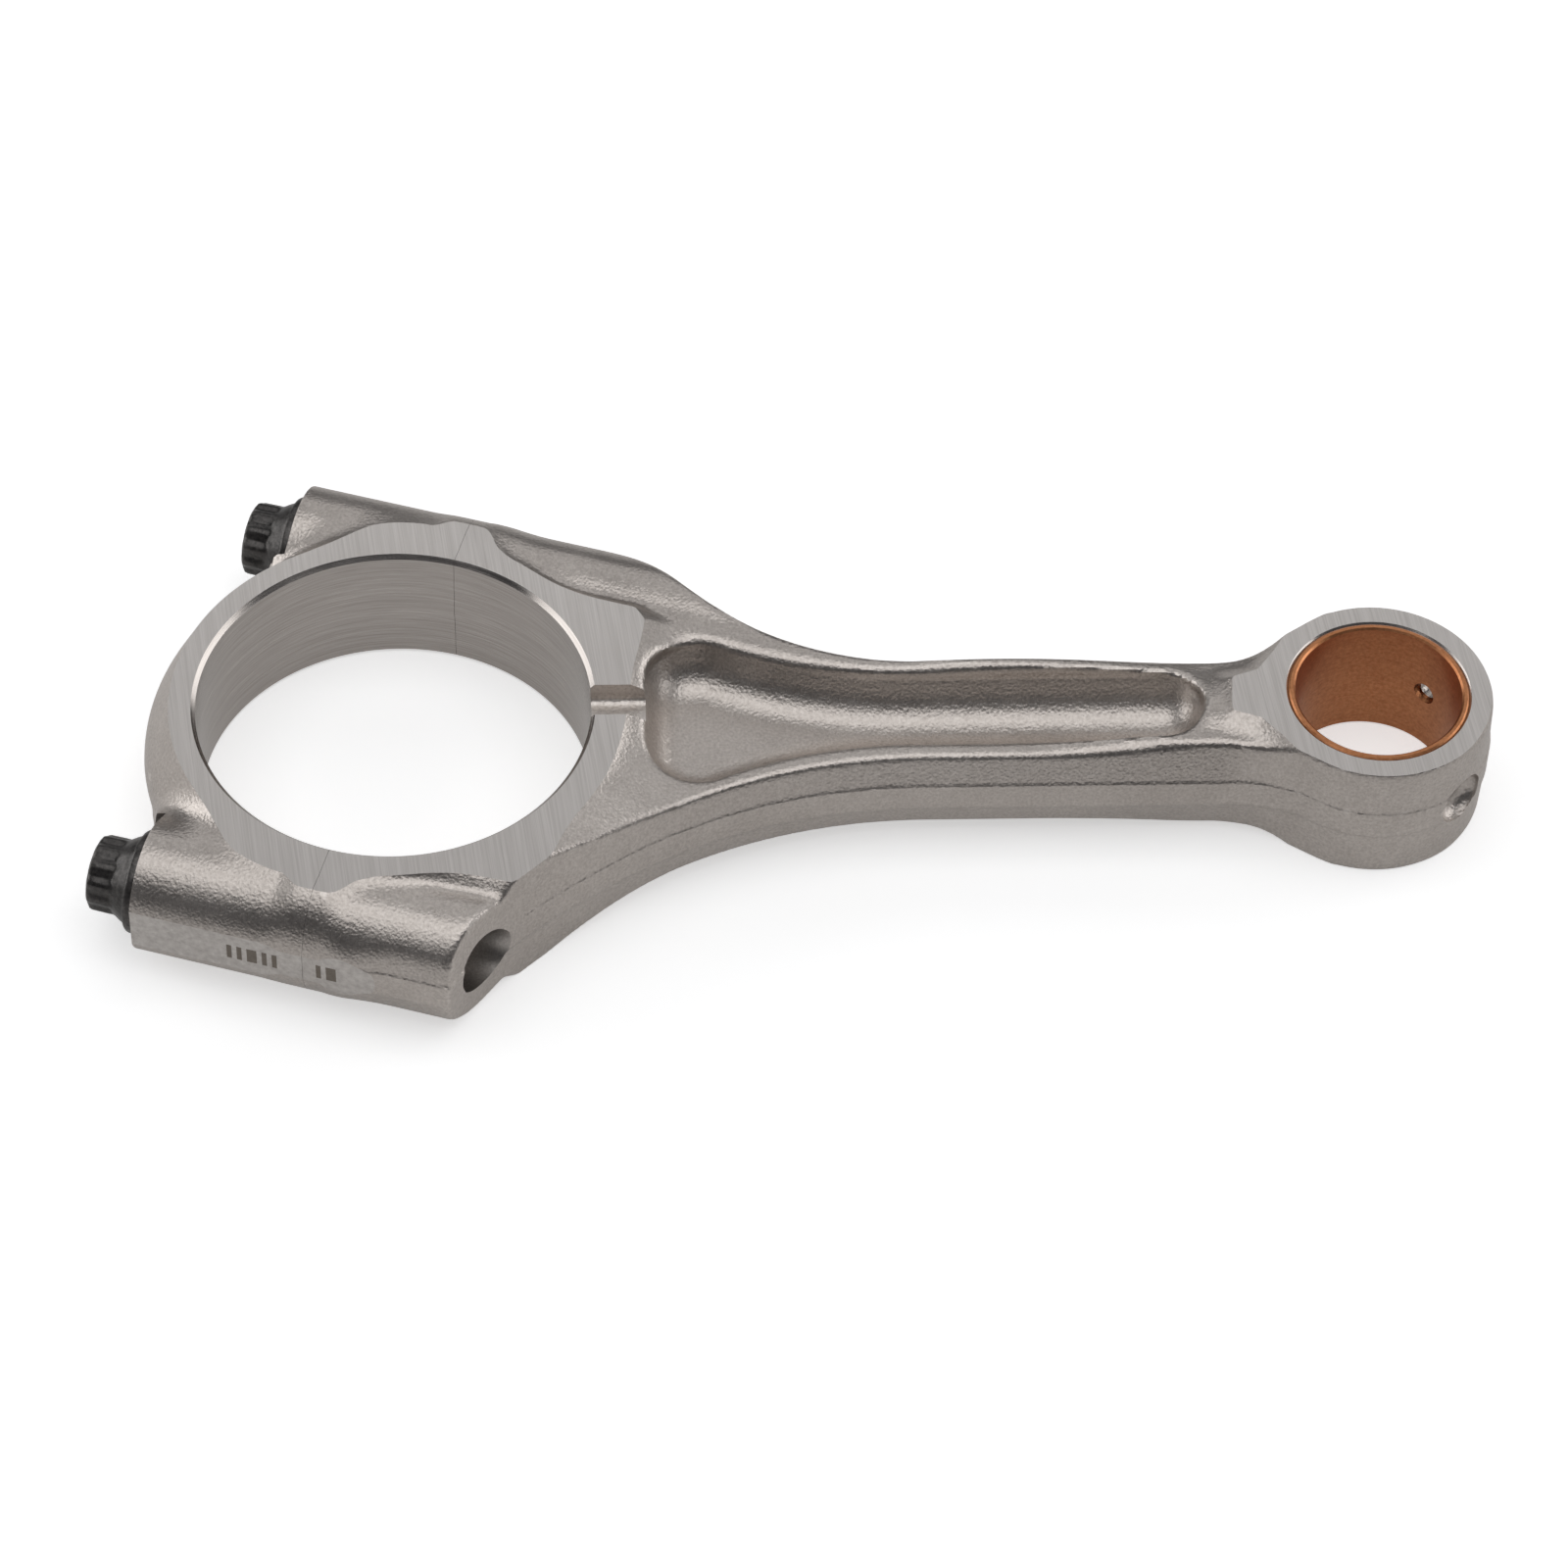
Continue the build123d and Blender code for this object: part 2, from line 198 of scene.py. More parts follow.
def blank(x, y, z):
    """The forged blank, as a distance that is negative inside."""
    az = np.abs(z)
    s = x * ALONG[0] + y * ALONG[1]
    t = x * ACROSS[0] + y * ACROSS[1]
    u = np.abs(t)
    r = np.hypot(x, y)
    down = FACE_Z - az
    rod_side = ramp(s, 1, 9)

    slope = RING_LEAN[0] * (r - RING_R) + RING_LEAN[1] * (az - BAND_Z)
    ring = common(r - RING_R, slope, 1.5)
    boss_r = BOSS_R - BOSS_DIP * ramp(np.abs(s), 7, 3) - BOSS_TAPER * ramp(s, 4, 12)
    boss = np.maximum(np.hypot(u - BOLT_T, BOSS_FLAT * az) - boss_r, SEAT_S - SEAT_STOCK - s)
    body = union(ring, boss, between(6.0, 2.5, rod_side))

    fan_side = ramp(u, 33, 28) * rod_side
    face_edge = outline_distance(FACE_OUTLINE, x, y) - between(*FACE_LEAN, fan_side) * down
    body = union(body, np.maximum(face_edge, 3 - s), between(1.2, 2.6, rod_side))
    web_top = np.where(u < WEB_T, az - WEB_R - WEB_Z, np.hypot(u - WEB_T, az - WEB_Z) - WEB_R)
    web = common(np.abs(s) - WEB_S - 0.3 * down, web_top, 2.6)
    body = union(body, web, 2.0)

    beside = np.where(x < FAN_X, np.maximum(u - BOLT_T, 0), 0)     # out past a bolt's axis
    under_boss = np.hypot(beside, BOSS_FLAT * az) - boss_r + 2.2
    beam = np.maximum(np.maximum(az - PLATE_Z, 6 - s), under_boss)
    body = union(body, beam, between(4.0, 8.0, fan_side))
    tongue = outline_distance(TONGUE_OUTLINE, x, y) - down
    eye = np.minimum(np.hypot(x - CENTRES, y) - EYE_R + SKIM - EYE_LEAN * down, tongue)
    body = union(body, eye, 2.5)

    sides = side_walls(x, y, t, s, az) - BAND_PROUD * ramp(BAND_Z - az, -0.14, 0.14)
    body = common(body, sides, 0.9)
    flare = pocket_distance(x, y) + DRAFT * np.maximum(PLATE_Z - az, 0)
    recess = common(flare / hypot(1, DRAFT), POCKET_Z - az, 4.2)
    body = common(body, -recess, 1.3)
    body = np.maximum(body, az - STOCK_Z)
    body = np.maximum(body, BORE_R - BORE_STOCK[0] - r)
    return np.maximum(body, PIN_R - BORE_STOCK[1] - np.hypot(x - CENTRES, y))


def net_surface(field, xs, ys, zs):
    """A closed surface of quads round the part of a grid where the field is negative."""
    values = field(xs[:, None, None], ys[None, :, None], zs[None, None, zs > 0])
    values = np.concatenate((values[:, :, ::-1], values), axis=2).astype(np.float32)
    inside = values < 0
    shape = tuple(n - 1 for n in values.shape)
    corners = [(i, j, k) for i in (0, 1) for j in (0, 1) for k in (0, 1)]

    def corner_of(grid, corner):
        return grid[tuple(slice(c, c + n) for c, n in zip(corner, shape))]
    count = sum(corner_of(inside, c).astype(np.int8) for c in corners)
    cells = np.argwhere((count > 0) & (count < 8))
    total = np.zeros((len(cells), 3))
    hits = np.zeros(len(cells))
    axes = (xs, ys, zs)
    for a in corners:
        for axis in range(3):
            if a[axis]:
                continue
            b = tuple(1 if k == axis else c for k, c in enumerate(a))
            fa = values[tuple((cells + a).T)]
            fb = values[tuple((cells + b).T)]
            change = (fa < 0) != (fb < 0)
            k = np.where(change, fa / np.where(change, fa - fb, 1), 0)
            point = np.stack([axes[m][cells[:, m] + a[m]] for m in range(3)], axis=1)
            step = axes[axis][cells[:, axis] + 1] - axes[axis][cells[:, axis]]
            point[:, axis] += k * step
            total += point * change[:, None]
            hits += change
    verts = total / hits[:, None]
    number = np.full(shape, -1, np.int32)
    number[tuple(cells.T)] = np.arange(len(cells))
    faces = []
    for axis in range(3):
        p, q = (axis + 1) % 3, (axis + 2) % 3
        low = [slice(1, -1)] * 3
        high = [slice(1, -1)] * 3
        low[axis] = slice(0, -1)
        high[axis] = slice(1, None)
        first = inside[tuple(low)]
        second = inside[tuple(high)]
        for want, order in ((first & ~second, 1), (~first & second, -1)):
            at = np.argwhere(want) + [0 if k == axis else 1 for k in range(3)]
            quad = []
            for dp, dq in ((1, 1), (0, 1), (0, 0), (1, 0)):
                cell = at.copy()
                cell[:, p] -= dp
                cell[:, q] -= dq
                quad.append(number[tuple(cell.T)])
            faces.append(np.stack(quad[::order], axis=1))
    faces = np.concatenate(faces)
    for _ in range(3):
        value, slope = field_slope(field, verts)
        move = -value[:, None] * slope / np.maximum((slope ** 2).sum(1), 0.2)[:, None]
        length = np.maximum(np.linalg.norm(move, axis=1), 1e-9)
        verts += move * np.minimum(1, 0.3 * CELL / length)[:, None]
    return verts, faces


def field_slope(field, points, step=0.02):
    """The field's value and gradient at scattered points."""
    value = field(*points.T)
    slope = np.empty_like(points)
    for axis in range(3):
        ahead = points.copy()
        ahead[:, axis] += step
        behind = points.copy()
        behind[:, axis] -= step
        slope[:, axis] = (field(*ahead.T) - field(*behind.T)) / (2 * step)
    return value, slope


def mesh_object(name, verts, faces):
    """A new object in the scene from vertices in millimetres."""
    mesh = bpy.data.meshes.new(name)
    mesh.from_pydata([tuple(v) for v in verts], [], [tuple(f) for f in faces])
    piece = bpy.data.objects.new(name, mesh)
    bpy.context.scene.collection.objects.link(piece)
    return piece


NECK_R = ((CENTRES - NECK_X) ** 2 + SHANK_Y ** 2 - EYE_R ** 2) / (2 * (EYE_R - SHANK_Y))
NECK_END_X = CENTRES - EYE_R * (CENTRES - NECK_X) / (EYE_R + NECK_R)
heights = np.concatenate((
    np.arange(CELL / 2, 2.3, CELL), (2.5, 2.7), np.arange(3.1, 7.2, CELL), np.arange(7.3, 8.6, CELL * 0.7),
    np.arange(8.9, STOCK_Z - 0.4, CELL), (STOCK_Z - 0.2, STOCK_Z + 0.2)))
heights = np.unique(np.round(heights, 4))
levels = np.concatenate((-heights[::-1], heights))
xs = np.arange(-RING_R - 10, CENTRES + EYE_R + 2, CELL)
ys = np.arange(-55, 55, CELL)
blank_verts, blank_faces = net_surface(blank, xs, ys, levels)
forging = mesh_object("forging", blank_verts, blank_faces)


def turned(name, stations, segments, place, radius=None, arc=None):
    """A turned solid from (distance, radius) stations along the local Z axis. A closed loop of stations
    with arc given makes a ring or part of one; radius bends each station's circle."""
    ring = arc is not None
    span = arc if arc and arc < 2 * pi else 2 * pi
    open_span = bool(arc and arc < 2 * pi)
    steps = segments + 1 if open_span else segments
    angle = np.arange(steps) / segments * span - (span / 2 if open_span else 0)
    rows = []
    for distance, r in stations:
        reach = radius(angle, distance, r) if radius else np.full(steps, float(r))
        level = np.full(steps, distance)
        rows.append(np.stack((reach * np.cos(angle), reach * np.sin(angle), level), axis=1))
    verts = np.concatenate(rows)
    faces = []
    rings = len(stations)
    for i in range(rings if ring else rings - 1):
        below = i * steps
        above = (i + 1) % rings * steps
        for k in range(segments):
            n = (k + 1) % steps
            faces.append((below + k, below + n, above + n, above + k))
    if not ring:
        faces.append(tuple(range(steps))[::-1])
        faces.append(tuple(range((rings - 1) * steps, rings * steps)))
    if open_span:
        faces.append(tuple(i * steps for i in range(rings)))
        faces.append(tuple(i * steps + steps - 1 for i in range(rings))[::-1])
    piece = mesh_object(name, verts, faces)
    piece.data.transform(place)
    tidy_normals(piece)
    return piece


def tidy_normals(piece):
    """Faces outwards, whatever the order they were made in."""
    work = bmesh.new()
    work.from_mesh(piece.data)
    bmesh.ops.recalc_face_normals(work, faces=work.faces)
    work.to_mesh(piece.data)
    work.free()


def block(name, low, high, place=Matrix.Identity(4)):
    """A plain box between two corners."""
    corners = [(x, y, z) for x in (low[0], high[0]) for y in (low[1], high[1]) for z in (low[2], high[2])]
    faces = [(0, 1, 3, 2), (4, 6, 7, 5), (0, 4, 5, 1), (2, 3, 7, 6), (0, 2, 6, 4), (1, 5, 7, 3)]
    piece = mesh_object(name, corners, faces)
    piece.data.transform(place)
    tidy_normals(piece)
    return piece


def cut(piece, tools):
    """Machines the tools away from a piece and throws them away."""
    for tool in tools:
        step = piece.modifiers.new(tool.name, "BOOLEAN")
        step.operation = "DIFFERENCE"
        step.solver = "MANIFOLD"
        step.object = tool
        shaped = piece.evaluated_get(bpy.context.evaluated_depsgraph_get())
        mesh = bpy.data.meshes.new_from_object(shaped)
        piece.modifiers.clear()
        piece.data = mesh
        bpy.data.objects.remove(tool)


SPLIT_FRAME = Matrix((
    (ALONG[0], ACROSS[0], 0, 0), (ALONG[1], ACROSS[1], 0, 0), (0, 0, 1, 0), (0, 0, 0, 1)))
SIDES = (("near", -1), ("far", 1))


def on_bolt(side):
    """Local Z along a bolt towards the rod, from the split plane."""
    turn = Matrix(((0, 0, 1, 0), (1, 0, 0, side * BOLT_T), (0, 1, 0, 0), (0, 0, 0, 1)))
    return SPLIT_FRAME @ turn


def at_pin(angle=0.0):
    return Matrix.Translation((CENTRES, 0, 0)) @ Matrix.Rotation(radians(angle), 4, "Z")


BORE_CHAMFER = 0.65
BUSH_R = 14.1
EYE_CHAMFER = 0.35
CAP_HOLE_R = 4.58
TAP_R = 4.55                 # crests of the tapped thread, clear of the bolt
TAP_DEPTH = 0.42
TAP_END = 19.5
RUN_OUT_R = 5.3
RUN_OUT_END = 47.0           # the drill's point starts here, past where it breaks out of the fan
PITCH = 1.0
SEAT_INNER = 28.2            # the seats are milled from here outwards
RELIEF_R = 9.0
SLOT_Y = 2.8
SLOT_Z = 7.8
FEED_ANGLE = 45
FEED_R = 1.5
DIMPLE_R = 4.4
DIMPLE_DEPTH = 2.4
OVER = STOCK_Z + 2


def thread(start, end, crest, depth, fade=1.2):
    """Radius of a screw thread's flank at an angle and a distance, fading out at both ends."""
    def flank(angle, distance, r):
        turn = (distance / PITCH - angle / (2 * pi)) % 1.0
        wave = np.clip(np.abs(turn - 0.5) * 2.9 - 0.22, 0, 1)      # flat roots and crests
        ease = np.clip(min(distance - start, end - distance) / fade, 0, 1)
        return np.where((distance > start) & (distance < end), r + depth * wave * ease, r)
    return flank


def bore_stations(radius, chamfer):
    top = FACE_Z - chamfer
    mouth = radius + OVER - top
    return [(-OVER, mouth), (-top, radius), (top, radius), (OVER, mouth)]


def edge_fade(angle, distance, r):
    """The broken edge round the pin end runs out where the shoulders begin."""
    return r + 0.8 * ramp(np.abs(angle), radians(70), radians(112))


tools = []
for side in (-1, 1):
    tools.append(block("face_grind", (-80, -80, side * FACE_Z), (200, 80, side * OVER)))
    tools.append(block("pad_mill", (-60, side * PAD_T, -OVER), (60, side * FAR_OUT, OVER), SPLIT_FRAME))
    seat_low = (-FAR_OUT, side * SEAT_INNER, -OVER)
    tools.append(block("seat_mill", seat_low, (SEAT_S, side * FAR_OUT, OVER), SPLIT_FRAME))
    tools.append(turned("seat_relief", [(-FAR_OUT, RELIEF_R), (SEAT_S, RELIEF_R)], 64, on_bolt(side)))
    taps = [(d, TAP_R) for d in np.arange(0.3, TAP_END, PITCH / 6)]
    mouth = [(-0.6, TAP_R + 0.9), (0.3, TAP_R)]
    tools.append(turned("cap_hole", [(-FAR_OUT, CAP_HOLE_R), (-0.5, CAP_HOLE_R)], 64, on_bolt(side)))
    tap_form = thread(0.4, TAP_END + 2, TAP_R, TAP_DEPTH)
    tools.append(turned("tap", mouth + taps[1:] + [(TAP_END + 0.5, TAP_R)], 60, on_bolt(side), tap_form))
    run_out = [(TAP_END - 0.6, TAP_R), (TAP_END + 0.2, RUN_OUT_R), (RUN_OUT_END, RUN_OUT_R),
               (RUN_OUT_END + 0.6 * RUN_OUT_R, 0.05)]
    tools.append(turned("run_out", run_out, 72, on_bolt(side)))
    bowl = [(BUSH_R - 3, FEED_R), (EYE_R - DIMPLE_DEPTH - 0.4, FEED_R)]
    for k in range(9):
        lean = radians(90) * k / 8
        bowl.append((EYE_R - DIMPLE_DEPTH * cos(lean), FEED_R + (DIMPLE_R - FEED_R) * sin(lean)))
    bowl.append((EYE_R + 3, DIMPLE_R + 0.6))
    across = Matrix.Rotation(radians(90), 4, "Y")
    tools.append(turned("oil_feed", bowl, 48, at_pin(side * FEED_ANGLE) @ across))
    rim = [(side * (FACE_Z - 0.95), EYE_R + 0.65), (side * (FACE_Z + 0.9), EYE_R + 0.65),
           (side * (FACE_Z + 0.9), EYE_R - 1.2)]
    tools.append(turned("eye_edge", rim, 120, at_pin(), edge_fade, arc=radians(228)))
tools.append(turned("big_bore", bore_stations(BORE_R, BORE_CHAMFER), 224, Matrix.Identity(4)))
tools.append(turned("eye_bore", bore_stations(BUSH_R, EYE_CHAMFER), 128, at_pin()))
slot_section = [(-SLOT_Y - 0.6, OVER), (-SLOT_Y, SLOT_Z + 1.2)]
for k in range(5):
    lean = radians(90) * k / 4
    slot_section.append((-SLOT_Y + 1.2 - 1.2 * cos(lean), SLOT_Z + 1.2 - 1.2 * sin(lean)))
slot_section += [(-y, z) for y, z in reversed(slot_section)]
slot_verts = [(x, y, z) for x in (BORE_R - 4, 46.0) for y, z in slot_section]
n = len(slot_section)
slot_faces = [tuple(range(n)), tuple(range(2 * n - 1, n - 1, -1))]
slot_faces += [(k, (k + 1) % n, n + (k + 1) % n, n + k) for k in range(n)]
tools.append(mesh_object("oil_slot", slot_verts, slot_faces))
tidy_normals(tools[-1])
bpy.context.view_layer.update()
cut(forging, tools)

# ---- the crack: one rough sheet parts the cap from the rod ----
CRACK_GAP = 0.05
CRACK_ROUGH = 0.16
CRACK_CELL = 0.8
crack_t = np.arange(-70, 70.1, CRACK_CELL)
crack_z = np.arange(-14, 14.1, CRACK_CELL)
chance = np.random.default_rng(11)
tt, zz = np.meshgrid(crack_t, crack_z, indexing="ij")
crack = np.zeros_like(tt)
for size, weight in ((9.0, 0.5), (4.0, 0.35), (1.9, 0.25)):
    ti = np.floor(tt / size).astype(int) + 40
    zi = np.floor(zz / size).astype(int) + 20
    knots = chance.uniform(-1, 1, (100, 50))
    ft, fz = tt / size % 1, zz / size % 1
    near_row = knots[ti, zi] * (1 - fz) + knots[ti, zi + 1] * fz
    far_row = knots[ti + 1, zi] * (1 - fz) + knots[ti + 1, zi + 1] * fz
    crack += weight * (near_row * (1 - ft) + far_row * ft)
crack += chance.uniform(-0.12, 0.12, crack.shape)
crack *= CRACK_ROUGH


def cracked_half(name, side):
    """The forging with everything on one side of the crack removed."""
    half = forging.copy()
    half.data = forging.data.copy()
    half.name = name
    bpy.context.scene.collection.objects.link(half)
    rows, columns = crack.shape
    face = np.stack((crack + side * CRACK_GAP / 2, tt, zz), axis=-1).reshape(-1, 3)
    back = face.copy()
    back[:, 0] = -side * 2 * CENTRES
    quads = []
    for i in range(rows - 1):
        for k in range(columns - 1):
            a = i * columns + k
            quads.append((a, a + 1, a + columns + 1, a + columns))
    shift = rows * columns
    rim = list(range(columns))
    rim += [i * columns + columns - 1 for i in range(1, rows)]
    rim += [(rows - 1) * columns + k for k in range(columns - 2, -1, -1)]
    rim += [i * columns for i in range(rows - 2, 0, -1)]
    faces = quads + [tuple(v + shift for v in q[::-1]) for q in quads]
    faces += [(rim[k], rim[k - 1], rim[k - 1] + shift, rim[k] + shift) for k in range(len(rim))]
    waste = mesh_object("waste", np.concatenate((face, back)), faces)
    waste.data.transform(SPLIT_FRAME)
    tidy_normals(waste)
    bpy.context.view_layer.update()
    cut(half, [waste])
    return half


rod = cracked_half("forged_rod", 1)
cap = cracked_half("forged_cap", -1)
bpy.data.objects.remove(forging)


# ---- finishes of the forging's surfaces ----
SKIN, GROUND, BORED, MILLED, CRACKED, MARKED = range(6)
SHARP = radians(28)


def surfaces(piece, materials, choose):
    """Gives each face the material that choose() works out from face centres and normals."""
    mesh = piece.data
    mesh.materials.clear()
    for material in materials:
        mesh.materials.append(material)
    count = len(mesh.polygons)
    centre = np.empty(count * 3, np.float32)
    normal = np.empty(count * 3, np.float32)
    mesh.polygons.foreach_get("center", centre)
    mesh.polygons.foreach_get("normal", normal)
    kind = choose(*centre.reshape(-1, 3).T, *normal.reshape(-1, 3).T)
    mesh.polygons.foreach_set("material_index", kind.astype(np.int32))


def forged_surfaces(x, y, z, nx, ny, nz):
    s = x * ALONG[0] + y * ALONG[1]
    t = x * ACROSS[0] + y * ACROSS[1]
    ns = nx * ALONG[0] + ny * ALONG[1]
    nt = nx * ACROSS[0] + ny * ACROSS[1]
    r = np.hypot(x, y)
    eye_r = np.hypot(x - CENTRES, y)
    bolt_r = np.hypot(np.abs(t) - BOLT_T, z)
    kind = np.full(len(x), SKIN)
    kind[(np.abs(s) < 0.6) & (np.abs(ns) > 0.5) & (r > BORE_R)] = CRACKED
    kind[(np.abs(np.abs(z) - FACE_Z) < 0.01) & (np.abs(nz) > 0.99)] = GROUND
    kind[(np.abs(s - SEAT_S) < 0.01) & (np.abs(ns) > 0.99)] = MILLED
    kind[(bolt_r < RUN_OUT_R + 0.05) & (np.abs(ns) < 0.9) & (s < 60)] = MILLED
    kind[(np.abs(np.abs(t) - PAD_T) < 0.01) & (np.abs(nt) > 0.99)] = GROUND
    kind[(np.abs(t + PAD_T) < 0.01) & (nt < -0.99)] = MARKED
    kind[(r < BORE_R + 0.9) & (np.abs(nz) < 0.9) & (z < FACE_Z)] = BORED
    kind[(np.abs(y) < SLOT_Y + 0.3) & (x > 28) & (x < 40) & (z > SLOT_Z - 0.1) & (z < FACE_Z - 0.01)] = SKIN
    kind[(eye_r < BUSH_R + 0.5) & (np.abs(nz) < 0.9)] = BORED
    rim = (np.abs(eye_r - EYE_R) < 0.4) & (np.abs(z) > FACE_Z - 0.5) & (x > CENTRES - 8)
    kind[rim & (np.abs(nz) < 0.9) & (np.abs(nz) > 0.5)] = BORED
    return kind


def complete(piece, body, slot, *nodes):
    """Turns a piece to metres, shades it, hangs it under its body's empty and hides the CAD parts it
    replaces.
    """
    mesh = piece.data
    mesh.transform(Matrix.Scale(MM, 4))
    mesh.shade_smooth()
    mesh.set_sharp_from_angle(angle=SHARP)
    work = bmesh.new()
    work.from_mesh(mesh)
    for edge in work.edges:
        if len({face.material_index for face in edge.link_faces}) > 1:
            edge.smooth = False
    work.to_mesh(mesh)
    work.free()
    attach(piece, body)
    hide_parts(*nodes)


def group(name, inputs, outputs):
    """An empty shader node group with named float sockets."""
    tree = bpy.data.node_groups.new(name, "ShaderNodeTree")
    for label, value in inputs.items():
        tree.interface.new_socket(label, in_out="INPUT", socket_type="NodeSocketFloat").default_value = value
    for label in outputs:
        tree.interface.new_socket(label, in_out="OUTPUT", socket_type="NodeSocketFloat")
    start = tree.nodes.new("NodeGroupInput")
    end = tree.nodes.new("NodeGroupOutput")
    return tree, start.outputs, end.inputs


def node(tree, kind, sockets=None, **settings):
    """One shader node; a socket's value is a number, a colour or another node's output."""
    made = tree.nodes.new("ShaderNode" + kind)
    for key, value in settings.items():
        setattr(made, key, value)
    for key, value in (sockets or {}).items():
        if isinstance(value, bpy.types.NodeSocket):
            tree.links.new(value, made.inputs[key])
        else:
            made.inputs[key].default_value = value
    return made


def maths(tree, operation, a, b=0.0, clamp=False):
    return node(tree, "Math", {0: a, 1: b}, operation=operation, use_clamp=clamp).outputs[0]


def spread(tree, value, low, high, to_low=0.0, to_high=1.0):
    """Maps a range of values to another, held at both ends."""
    keys = {"Value": value, "From Min": low, "From Max": high, "To Min": to_low, "To Max": to_high}
    return node(tree, "MapRange", keys).outputs[0]


def noise(tree, vector, scale, detail=2.0, roughness=0.5):
    keys = {"Vector": vector, "Scale": scale, "Detail": detail, "Roughness": roughness}
    return node(tree, "TexNoise", keys).outputs[0]


# Blasted grain: the forging is shot-blasted, which leaves small round dents all over.
blasted, given, result = group("Blasted grain", {"Grain per metre": 2300.0}, ("Height", "Tone"))
place = node(blasted, "TexCoord").outputs["Object"]
dents = node(blasted, "TexVoronoi", {"Vector": place, "Scale": given[0], "Smoothness": 0.6},
             feature="SMOOTH_F1").outputs["Distance"]
fine = noise(blasted, place, given[0], 2.5, 0.6)
coarse = noise(blasted, place, maths(blasted, "MULTIPLY", given[0], 0.33), 1.5)
deep = maths(blasted, "MULTIPLY", dents, 0.55)
height = maths(blasted, "ADD", deep, maths(blasted, "MULTIPLY", fine, 0.7))
height = maths(blasted, "ADD", height, maths(blasted, "MULTIPLY", coarse, 0.5))
blasted.links.new(height, result["Height"])
blasted.links.new(spread(blasted, fine, 0.32, 0.68), result["Tone"])

# Machining lines: straight scratches left by the grinder or the cutter, at a stated lean in plan.
lined, given, result = group("Machining lines", {"Lean": 0.0, "Lines per metre": 3200.0}, ("Height", "Tone"))
place = node(lined, "TexCoord").outputs["Object"]
lean = node(lined, "CombineXYZ", {"Z": given["Lean"]}).outputs[0]
turning = {"Vector": place, "Rotation": lean}
leaning = node(lined, "VectorRotate", turning, rotation_type="EULER_XYZ").outputs[0]
stretched = node(lined, "VectorMath", {0: leaning, 1: (0.012, 1.0, 0.35)}, operation="MULTIPLY").outputs[0]
lines = noise(lined, stretched, given["Lines per metre"], 3.0, 0.65)
broad = noise(lined, stretched, maths(lined, "MULTIPLY", given["Lines per metre"], 0.16), 1.0)
lines = maths(lined, "ADD", lines, maths(lined, "MULTIPLY", broad, 0.15))
lined.links.new(lines, result["Height"])
lined.links.new(spread(lined, lines, 0.36, 0.80), result["Tone"])

# Mottle: broad, faint differences of tone where steel has been handled and oiled.
mottled, given, result = group("Mottle", {"Patches per metre": 45.0}, ("Tone",))
place = node(mottled, "TexCoord").outputs["Object"]
broad = noise(mottled, place, given[0], 3.0, 0.55)
small = noise(mottled, place, maths(mottled, "MULTIPLY", given[0], 6.0), 2.0)
tone = maths(mottled, "ADD", maths(mottled, "MULTIPLY", broad, 0.7), maths(mottled, "MULTIPLY", small, 0.3))
mottled.links.new(spread(mottled, tone, 0.35, 0.65), result["Tone"])

# Painted edge highlight: convex edges are painted brighter than the skin round them, standing in for the
# highlight that their small chamfers would catch.
painted_edge_group, given, result = group("Edge wear", {"Sharpness": 1.0, "Grain": 0.5}, ("Mask",))
edge = node(painted_edge_group, "NewGeometry").outputs["Pointiness"]
edge = spread(painted_edge_group, maths(painted_edge_group, "ADD", edge, maths(painted_edge_group, "MULTIPLY", given["Grain"], 0.02)), 0.53, 0.60)
painted_edge_group.links.new(maths(painted_edge_group, "MULTIPLY", edge, given["Sharpness"], True), result["Mask"])


def placed(tree, group_tree, **values):
    """A node group put to work in a material."""
    made = tree.nodes.new("ShaderNodeGroup")
    made.node_tree = group_tree
    for label, value in values.items():
        socket = made.inputs[label.replace("_", " ")]
        if isinstance(value, bpy.types.NodeSocket):
            tree.links.new(value, socket)
        else:
            socket.default_value = value
    return made.outputs


def metal(name, roughness=0.4, metallic=1.0):
    """A Principled metal whose colour, roughness and bump are wired by its own section."""
    material = bpy.data.materials.new(name)
    material.use_nodes = True
    tree = material.node_tree
    shader = tree.nodes["Principled BSDF"]
    shader.inputs["Metallic"].default_value = metallic
    shader.inputs["Roughness"].default_value = roughness
    return material, tree, shader


def mixed(tree, factor, dark, light):
    """Colour between two tones, each of them red, green and blue or another node's output."""
    dark, light = (tone if isinstance(tone, bpy.types.NodeSocket) else (*tone, 1) for tone in (dark, light))
    return node(tree, "Mix", {0: factor, 6: dark, 7: light}, data_type="RGBA").outputs[2]


def bump(tree, shader, height, depth_mm, strength=1.0):
    keys = {"Height": height, "Distance": depth_mm * MM, "Strength": strength}
    tree.links.new(node(tree, "Bump", keys).outputs[0], shader.inputs["Normal"])


forged_skin, tree, shader = metal("forged skin")
grain = placed(tree, blasted, Grain_per_metre=2100.0)
patch = placed(tree, mottled, Patches_per_metre=40.0)["Tone"]
# Painted highlight: convex edges of the skin are painted brighter.
painted_edge_highlight = placed(tree, painted_edge_group, Sharpness=0.5, Grain=grain["Tone"])["Mask"]
tone = maths(tree, "ADD", maths(tree, "MULTIPLY", grain["Tone"], 0.55), maths(tree, "MULTIPLY", patch, 0.3))
tone = maths(tree, "ADD", tone, painted_edge_highlight, True)
tree.links.new(mixed(tree, tone, (0.43, 0.39, 0.36), (0.70, 0.65, 0.61)), shader.inputs["Base Color"])
tree.links.new(spread(tree, patch, 0, 1, 0.33, 0.40), shader.inputs["Roughness"])
bump(tree, shader, grain["Height"], 0.085)

